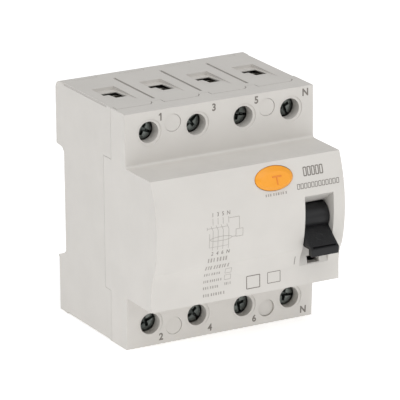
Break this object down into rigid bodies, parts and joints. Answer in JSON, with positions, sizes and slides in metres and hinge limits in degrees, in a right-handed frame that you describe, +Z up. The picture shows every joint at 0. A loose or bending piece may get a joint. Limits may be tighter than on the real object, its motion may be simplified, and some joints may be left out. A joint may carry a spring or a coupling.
{
  "type": "residual current device",
  "caption": "DIN-rail earth-leakage switch with a black rocker toggle, an oval orange test button and screw clamp terminals at top and bottom.",
  "frame": {"origin": "centre of the flat seat that lies against the 35 mm rail", "axes": "+Y into the rail (to the rear), -Y towards the user, +Z up along the height, +X to the right seen from the front"},
  "size_m": [0.0712, 0.0747, 0.0817],
  "materials": {
    "base_plastic": "fine moulded texture, light warm grey",
    "cover_plastic": "fine moulded texture, light warm grey",
    "plug_plastic": "smooth satin, light warm grey",
    "black_plastic": "satin black with grained finger pad",
    "orange_plastic": "satin amber orange",
    "zinc_steel": "zinc plated, satin",
    "cage_steel": "zinc plated, dull",
    "bright_steel": "ground",
    "spring_steel": "drawn wire",
    "copper": "stamped copper, satin",
    "contact_silver": "silver alloy",
    "brass_leaf": "sprung brass strip",
    "core_alloy": "lacquered core",
    "winding_wire": "enamelled copper wire",
    "carrier_plastic": "glass-filled, dark grey",
    "cradle_plastic": "natural white",
    "relay_plastic": "dark blue-grey",
    "card_laminate": "green laminate",
    "resistor_body": "beige lacquer",
    "wire_red": "red insulation",
    "clip_plastic": "moulded, light grey"
  },
  "bodies": {
    "case": {"rear_base": "base_plastic", "front_cover": "cover_plastic", "cover_plugs": "plug_plastic", "case_screws": "zinc_steel", "toggle_pin": "bright_steel", "mechanism_frame": "zinc_steel", "carrier_axle": "bright_steel", "line_plates": "copper", "load_plates": "copper", "fixed_tips": "contact_silver", "flexible_braids": "copper", "primary_conductors": "copper", "sensing_core": "core_alloy", "core_winding": "winding_wire", "core_cradle": "cradle_plastic", "relay_case": "relay_plastic", "trip_lever_pin": "bright_steel", "test_card": "card_laminate", "test_resistor": "resistor_body", "sense_wires": "wire_red", "test_spring": "spring_steel", "clip_spring": "spring_steel"},
    "toggle": {"toggle_handle": "black_plastic", "toggle_spring": "spring_steel"},
    "link": {"toggle_link": "zinc_steel"},
    "carrier": {"contact_carrier": "carrier_plastic", "moving_contacts": "copper", "moving_tips": "contact_silver", "contact_springs": "spring_steel"},
    "plunger": {"relay_plunger": "bright_steel"},
    "trip_lever": {"trip_lever": "cradle_plastic"},
    "button": {"test_button": "orange_plastic"},
    "leaf": {"test_leaf": "brass_leaf"},
    "clip": {"rail_clip": "clip_plastic"},
    "line_screw_1": {"line_screw_1": "zinc_steel"},
    "line_cage_1": {"line_cage_1": "cage_steel"},
    "line_screw_2": {"line_screw_2": "zinc_steel"},
    "line_cage_2": {"line_cage_2": "cage_steel"},
    "line_screw_3": {"line_screw_3": "zinc_steel"},
    "line_cage_3": {"line_cage_3": "cage_steel"},
    "line_screw_n": {"line_screw_n": "zinc_steel"},
    "line_cage_n": {"line_cage_n": "cage_steel"},
    "load_screw_1": {"load_screw_1": "zinc_steel"},
    "load_cage_1": {"load_cage_1": "cage_steel"},
    "load_screw_2": {"load_screw_2": "zinc_steel"},
    "load_cage_2": {"load_cage_2": "cage_steel"},
    "load_screw_3": {"load_screw_3": "zinc_steel"},
    "load_cage_3": {"load_cage_3": "cage_steel"},
    "load_screw_n": {"load_screw_n": "zinc_steel"},
    "load_cage_n": {"load_cage_n": "cage_steel"}
  },
  "joints": [
    {"name": "toggle_turn", "type": "hinge", "parent": "case", "child": "toggle", "pos_m": [0.0258, -0.0584, 0.0013], "axis": [-1, 0, 0], "range_deg": [0, 85]},
    {"name": "link_turn", "type": "hinge", "parent": "toggle", "child": "link", "pos_m": [0.0258, -0.05619, 0.00333], "axis": [1, 0, 0], "range_deg": [0, 85.5]},
    {"name": "carrier_turn", "type": "hinge", "parent": "case", "child": "carrier", "pos_m": [0, -0.0325, 0.0013], "axis": [1, 0, 0], "range_deg": [0, 15.81]},
    {"name": "plunger_slide", "type": "slide", "parent": "case", "child": "plunger", "axis": [1, 0, 0], "range_m": [0, 0.0015], "stiffness_N_per_m": 300, "springref_m": -0.0005},
    {"name": "trip_lever_turn", "type": "hinge", "parent": "case", "child": "trip_lever", "pos_m": [0.0155, -0.05015, 0.0061], "axis": [0, -1, 0], "range_deg": [0, 7.3]},
    {"name": "test_button_press", "type": "slide", "parent": "case", "child": "button", "axis": [0, 1, 0], "range_m": [0, 0.0018], "stiffness_N_per_m": 400, "springref_m": -0.001, "deforming": ["test_spring"]},
    {"name": "test_leaf_turn", "type": "hinge", "parent": "case", "child": "leaf", "pos_m": [0.0031, -0.0489, 0.0183], "axis": [0, 0, 1], "range_deg": [0, 17.2]},
    {"name": "rail_clip_pull", "type": "slide", "parent": "case", "child": "clip", "axis": [0, 0, -1], "range_m": [0, 0.004], "stiffness_N_per_m": 1200, "springref_m": -0.001, "deforming": ["clip_spring"]},
    {"name": "line_screw_1_turn", "type": "hinge", "parent": "case", "child": "line_screw_1", "pos_m": [-0.0267, -0.0365, 0.0346], "axis": [0, 1, 0], "range_deg": [0, 2881]},
    {"name": "line_cage_1_lift", "type": "slide", "parent": "case", "child": "line_cage_1", "axis": [0, -1, 0], "range_m": [0, 0.0064]},
    {"name": "line_screw_2_turn", "type": "hinge", "parent": "case", "child": "line_screw_2", "pos_m": [-0.0089, -0.0365, 0.0346], "axis": [0, 1, 0], "range_deg": [0, 2881]},
    {"name": "line_cage_2_lift", "type": "slide", "parent": "case", "child": "line_cage_2", "axis": [0, -1, 0], "range_m": [0, 0.0064]},
    {"name": "line_screw_3_turn", "type": "hinge", "parent": "case", "child": "line_screw_3", "pos_m": [0.0089, -0.0365, 0.0346], "axis": [0, 1, 0], "range_deg": [0, 2881]},
    {"name": "line_cage_3_lift", "type": "slide", "parent": "case", "child": "line_cage_3", "axis": [0, -1, 0], "range_m": [0, 0.0064]},
    {"name": "line_screw_n_turn", "type": "hinge", "parent": "case", "child": "line_screw_n", "pos_m": [0.0267, -0.0365, 0.0346], "axis": [0, 1, 0], "range_deg": [0, 2881]},
    {"name": "line_cage_n_lift", "type": "slide", "parent": "case", "child": "line_cage_n", "axis": [0, -1, 0], "range_m": [0, 0.0064]},
    {"name": "load_screw_1_turn", "type": "hinge", "parent": "case", "child": "load_screw_1", "pos_m": [-0.0267, -0.0365, -0.0321], "axis": [0, 1, 0], "range_deg": [0, 2881]},
    {"name": "load_cage_1_lift", "type": "slide", "parent": "case", "child": "load_cage_1", "axis": [0, -1, 0], "range_m": [0, 0.0064]},
    {"name": "load_screw_2_turn", "type": "hinge", "parent": "case", "child": "load_screw_2", "pos_m": [-0.0089, -0.0365, -0.0321], "axis": [0, 1, 0], "range_deg": [0, 2881]},
    {"name": "load_cage_2_lift", "type": "slide", "parent": "case", "child": "load_cage_2", "axis": [0, -1, 0], "range_m": [0, 0.0064]},
    {"name": "load_screw_3_turn", "type": "hinge", "parent": "case", "child": "load_screw_3", "pos_m": [0.0089, -0.0365, -0.0321], "axis": [0, 1, 0], "range_deg": [0, 2881]},
    {"name": "load_cage_3_lift", "type": "slide", "parent": "case", "child": "load_cage_3", "axis": [0, -1, 0], "range_m": [0, 0.0064]},
    {"name": "load_screw_n_turn", "type": "hinge", "parent": "case", "child": "load_screw_n", "pos_m": [0.0267, -0.0365, -0.0321], "axis": [0, 1, 0], "range_deg": [0, 2881]},
    {"name": "load_cage_n_lift", "type": "slide", "parent": "case", "child": "load_cage_n", "axis": [0, -1, 0], "range_m": [0, 0.0064]}
  ],
  "couplings": [
    {"joint": "link_turn", "follows": "toggle_turn", "ratio": 1},
    {"joint": "carrier_turn", "follows": "toggle_turn", "ratio": 0.18486},
    {"joint": "trip_lever_turn", "follows": "plunger_slide", "rad_per_m": 83.333},
    {"joint": "test_leaf_turn", "follows": "test_button_press", "rad_per_m": 156.25},
    {"joint": "line_screw_1_turn", "follows": "line_cage_1_lift", "rad_per_m": 7854},
    {"joint": "line_screw_2_turn", "follows": "line_cage_2_lift", "rad_per_m": 7854},
    {"joint": "line_screw_3_turn", "follows": "line_cage_3_lift", "rad_per_m": 7854},
    {"joint": "line_screw_n_turn", "follows": "line_cage_n_lift", "rad_per_m": 7854},
    {"joint": "load_screw_1_turn", "follows": "load_cage_1_lift", "rad_per_m": 7854},
    {"joint": "load_screw_2_turn", "follows": "load_cage_2_lift", "rad_per_m": 7854},
    {"joint": "load_screw_3_turn", "follows": "load_cage_3_lift", "rad_per_m": 7854},
    {"joint": "load_screw_n_turn", "follows": "load_cage_n_lift", "rad_per_m": 7854}
  ]
}
